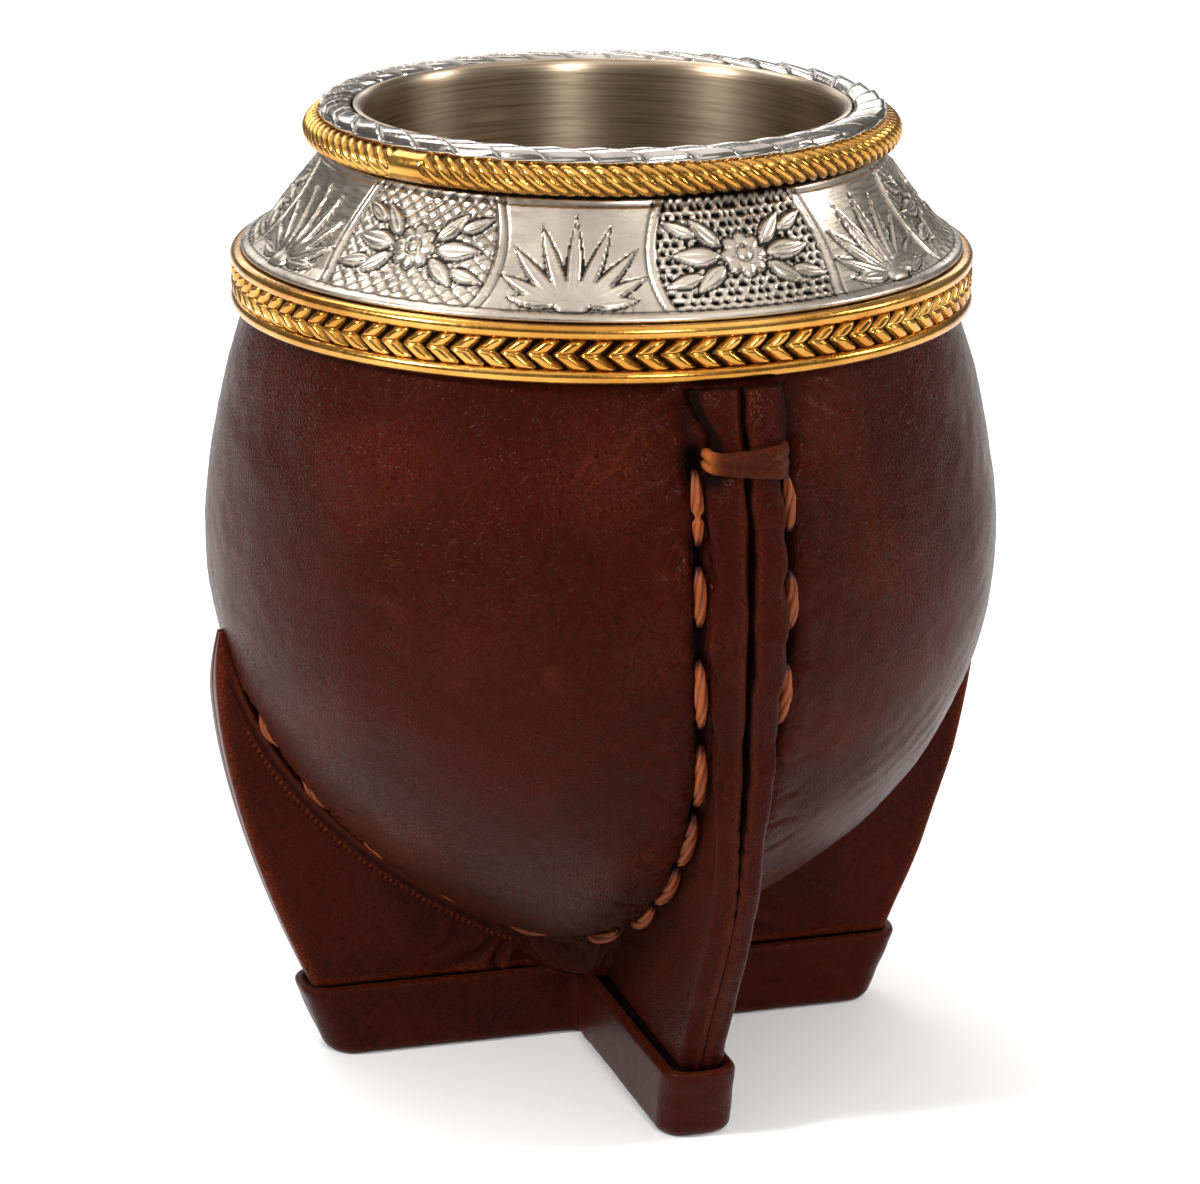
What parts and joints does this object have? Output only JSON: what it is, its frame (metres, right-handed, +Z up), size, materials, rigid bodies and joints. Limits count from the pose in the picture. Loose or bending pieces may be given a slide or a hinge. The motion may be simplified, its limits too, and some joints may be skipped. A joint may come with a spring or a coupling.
{
  "type": "mate cup",
  "caption": "Gourd-shaped drinking cup: steel liner, chased white-metal collar with gilt trims, sewn dark leather cover, and a leather cross foot with horned fins.",
  "frame": {"origin": "on the cup's axis, at the foot's underside", "axes": "+Z up along the cup's axis; the sewn seam that shows in front faces -Y; the horned fins point along -X and +X"},
  "size_m": [0.0954, 0.099, 0.1156],
  "materials": {
    "leather": "dark oxblood, waxed, fine grained, satin",
    "thread": "waxed tan thread, twisted",
    "gilt": "polished, dark in the hollows",
    "antique_silver": "chased white metal, brushed, dark in the cut lines",
    "bright_silver": "polished white metal",
    "steel": "brushed round, with a polished lip"
  },
  "bodies": {
    "root": {"braided_band": "gilt", "collar": "antique_silver", "fin_left": "leather", "fin_right": "leather", "foot": "leather", "leather_body": "leather", "liner": "steel", "rim_ring": "bright_silver", "rope_ring": "gilt", "seam_back_left": "leather", "seam_back_right": "leather", "seam_front_left": "leather", "seam_front_right": "leather", "strap_back": "leather", "strap_front": "leather", "thread_back_left": "thread", "thread_back_right": "thread", "thread_front_left": "thread", "thread_front_right": "thread"}
  },
  "joints": []
}
